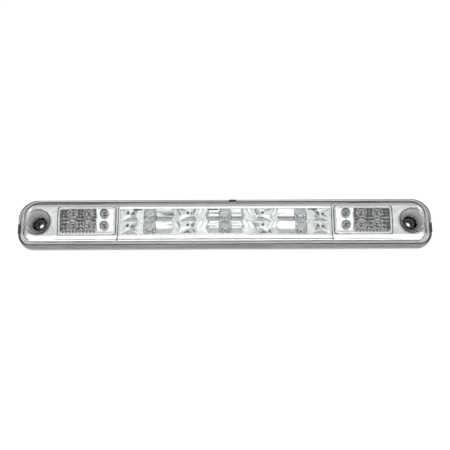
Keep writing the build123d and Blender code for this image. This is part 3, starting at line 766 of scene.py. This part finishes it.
class LAMP_OT_housing(bpy.types.Operator):
    """Rear housing and breather cap"""

    bl_idname = "lamp.housing"
    bl_label = "Housing"

    def execute(self, context):
        edge = context.scene.lamp_sizes.moulding_edge
        plastic = white_abs(context.scene.lamp_colours)
        finished_copy("rear_housing", "housing_tray", plastic, "housing_plastic", edge)
        finished_copy("breather_cap", "vent_cap", black_encapsulant(), "black_component", edge)
        return {"FINISHED"}


class LAMP_OT_rubber(bpy.types.Operator):
    """Rubber bushes, rim pads and grommet"""

    bl_idname = "lamp.rubber"
    bl_label = "Rubber"

    def execute(self, context):
        edge = context.scene.lamp_sizes.moulding_edge
        rubber = epdm_rubber(context.scene.lamp_colours)
        finished_copy("wiring_grommet", "cable_grommet", rubber, "black_rubber", edge)
        finished_copy("rim_pads", "side_pads", rubber, "black_rubber", edge / 2)
        for side in SIDES:
            finished_copy(f"screw_bush_{side}", f"dish_bush_{side}", rubber, "black_rubber", edge)
        return {"FINISHED"}


class LAMP_OT_seals(bpy.types.Operator):
    """Foam gasket and sealant bead"""

    bl_idname = "lamp.seals"
    bl_label = "Seals"

    def execute(self, context):
        foam = cell_foam(context.scene.lamp_colours)
        finished_copy("mounting_gasket", "foam_ring", foam, "foam_gasket", FOAM_EDGE)
        finished_copy("lens_seal", "sealant_bead", silicone_bead(), "sealant", SEALANT_EDGE)
        return {"FINISHED"}


class LAMP_OT_studio(bpy.types.Operator):
    """Floor, soft light and camera"""

    bl_idname = "lamp.studio"
    bl_label = "Studio"

    def execute(self, context):
        settings = context.scene.lamp_studio
        self.add_floor(context.scene.lamp_colours, settings)
        self.add_world(context.scene)
        self.add_key_light(settings)
        self.add_camera(context.scene, settings)
        context.scene.view_settings.view_transform = "Standard"
        return {"FINISHED"}

    def add_floor(self, colours, settings):
        bpy.ops.object.select_all(action="DESELECT")
        place = (0, 0, -settings.floor_drop)
        bpy.ops.mesh.primitive_circle_add(
            vertices=FLOOR_CORNERS, radius=FLOOR_RADIUS, fill_type="NGON", location=place
        )
        floor = bpy.context.object
        floor.name = "studio_floor"
        floor.data.materials.append(painted_floor(colours))
        floor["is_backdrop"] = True

    def add_world(self, scene):
        """Soft surroundings: brightest low down, grey overhead, dimmer low behind and at the sides.

        The camera itself sees plain white.
        """
        world = bpy.data.worlds.new("studio")
        scene.world = world
        world.use_nodes = True
        tree = world.node_tree
        tree.nodes.clear()
        place = node(tree, "ShaderNodeTexCoord").outputs["Generated"]
        parts = node(tree, "ShaderNodeSeparateXYZ", None, {"Vector": place}).outputs
        limits = {"From Min": -1.0, "From Max": 1.0}
        share = node(tree, "ShaderNodeMapRange", limits, {"Value": parts["Z"]}).outputs["Result"]
        stops = []
        for angle, value in SKY:
            height = 0.5 + 0.5 * math.sin(math.radians(angle))
            stops.append((height, (value, value, value, 1)))
        ramp = node(tree, "ShaderNodeValToRGB", {"stops": stops}, {"Fac": share})

        limits = {"From Min": BACK_EDGE[0], "From Max": BACK_EDGE[1], "To Min": 1.0, "To Max": BACK_LIGHT}
        behind = node(tree, "ShaderNodeMapRange", limits, {"Value": parts["Y"]}).outputs["Result"]
        limits = {"From Min": HIGH_EDGE[0], "From Max": HIGH_EDGE[1]}
        high = node(tree, "ShaderNodeMapRange", limits, {"Value": parts["Z"]}).outputs["Result"]
        links = {0: behind, 1: high}
        back_level = node(tree, "ShaderNodeMath", {"operation": "MAXIMUM"}, links).outputs["Value"]

        links = {0: parts["X"]}
        sideways = node(tree, "ShaderNodeMath", {"operation": "ABSOLUTE"}, links).outputs["Value"]
        limits = {"From Min": SIDE_EDGE[0], "From Max": SIDE_EDGE[1], "To Min": 1.0, "To Max": SIDE_LIGHT}
        side = node(tree, "ShaderNodeMapRange", limits, {"Value": sideways}).outputs["Result"]
        limits = {"From Min": UNDER_EDGE[0], "From Max": UNDER_EDGE[1]}
        under = node(tree, "ShaderNodeMapRange", limits, {"Value": parts["Z"]}).outputs["Result"]
        links = {0: side, 1: under}
        side_level = node(tree, "ShaderNodeMath", {"operation": "MAXIMUM"}, links).outputs["Value"]

        links = {0: back_level, 1: side_level}
        level = node(tree, "ShaderNodeMath", {"operation": "MULTIPLY"}, links).outputs["Value"]
        soft = node(tree, "ShaderNodeBackground", None, {"Color": ramp.outputs["Color"], "Strength": level})
        white = node(tree, "ShaderNodeBackground", {"Color": (1, 1, 1, 1), "Strength": SEEN_WHITE})
        seen = node(tree, "ShaderNodeLightPath").outputs["Is Camera Ray"]
        mix = node(tree, "ShaderNodeMixShader", None, {"Fac": seen})
        tree.links.new(soft.outputs["Background"], mix.inputs[1])
        tree.links.new(white.outputs["Background"], mix.inputs[2])
        node(tree, "ShaderNodeOutputWorld", None, {"Surface": mix.outputs["Shader"]})

    def add_key_light(self, settings):
        """Overhead soft light that lifts the floor and the matt surfaces and stays out of the mirrors."""
        bpy.ops.object.light_add(type="AREA", location=KEY_PLACE)
        key = bpy.context.object
        key.name = "overhead_soft_light"
        key.data.shape = "RECTANGLE"
        key.data.size, key.data.size_y = KEY_SIZE
        key.data.energy = settings.key_power
        key.visible_glossy = False
        key.visible_camera = False
        key.visible_transmission = False

    def add_camera(self, scene, settings):
        low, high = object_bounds()
        centre = Vector(((low.x + high.x) / 2, LENS_FACE_Y, (low.z + high.z) / 2 - settings.drop))
        towards = Vector((0, -math.cos(settings.elevation), math.sin(settings.elevation)))
        data = bpy.data.cameras.new("camera")
        data.sensor_width = SENSOR_WIDTH
        data.lens = data.sensor_width * settings.distance / settings.width
        camera = bpy.data.objects.new("camera", data)
        scene.collection.objects.link(camera)
        camera.location = centre + towards * settings.distance
        turn = (-towards).to_track_quat("-Z", "Y").to_euler()
        turn.rotate_axis("Z", settings.roll)
        camera.rotation_euler = turn
        scene.camera = camera


class LAMP_PT_panel(bpy.types.Panel):
    """Lists the lamp's pieces"""

    bl_label = "Brake light"
    bl_idname = "LAMP_PT_panel"
    bl_space_type = "VIEW_3D"
    bl_region_type = "UI"
    bl_category = "Brake light"

    def draw(self, context):
        for operator in OPERATORS:
            self.layout.operator(operator.bl_idname)


OPERATORS = (
    LAMP_OT_lens,
    LAMP_OT_reflectors,
    LAMP_OT_light_sources,
    LAMP_OT_boards,
    LAMP_OT_housing,
    LAMP_OT_rubber,
    LAMP_OT_seals,
    LAMP_OT_studio,
)
CLASSES = (LampColours, LampSizes, StudioSettings, *OPERATORS, LAMP_PT_panel)


def register():
    for cls in CLASSES:
        bpy.utils.register_class(cls)
    bpy.types.Scene.lamp_colours = bpy.props.PointerProperty(type=LampColours)
    bpy.types.Scene.lamp_sizes = bpy.props.PointerProperty(type=LampSizes)
    bpy.types.Scene.lamp_studio = bpy.props.PointerProperty(type=StudioSettings)


def unregister():
    del bpy.types.Scene.lamp_studio
    del bpy.types.Scene.lamp_sizes
    del bpy.types.Scene.lamp_colours
    for cls in reversed(CLASSES):
        bpy.utils.unregister_class(cls)


def main():
    register()
    bpy.ops.lamp.lens()
    bpy.ops.lamp.reflectors()
    bpy.ops.lamp.light_sources()
    bpy.ops.lamp.boards()
    bpy.ops.lamp.housing()
    bpy.ops.lamp.rubber()
    bpy.ops.lamp.seals()
    bpy.ops.lamp.studio()


if __name__ == "__main__":
    main()
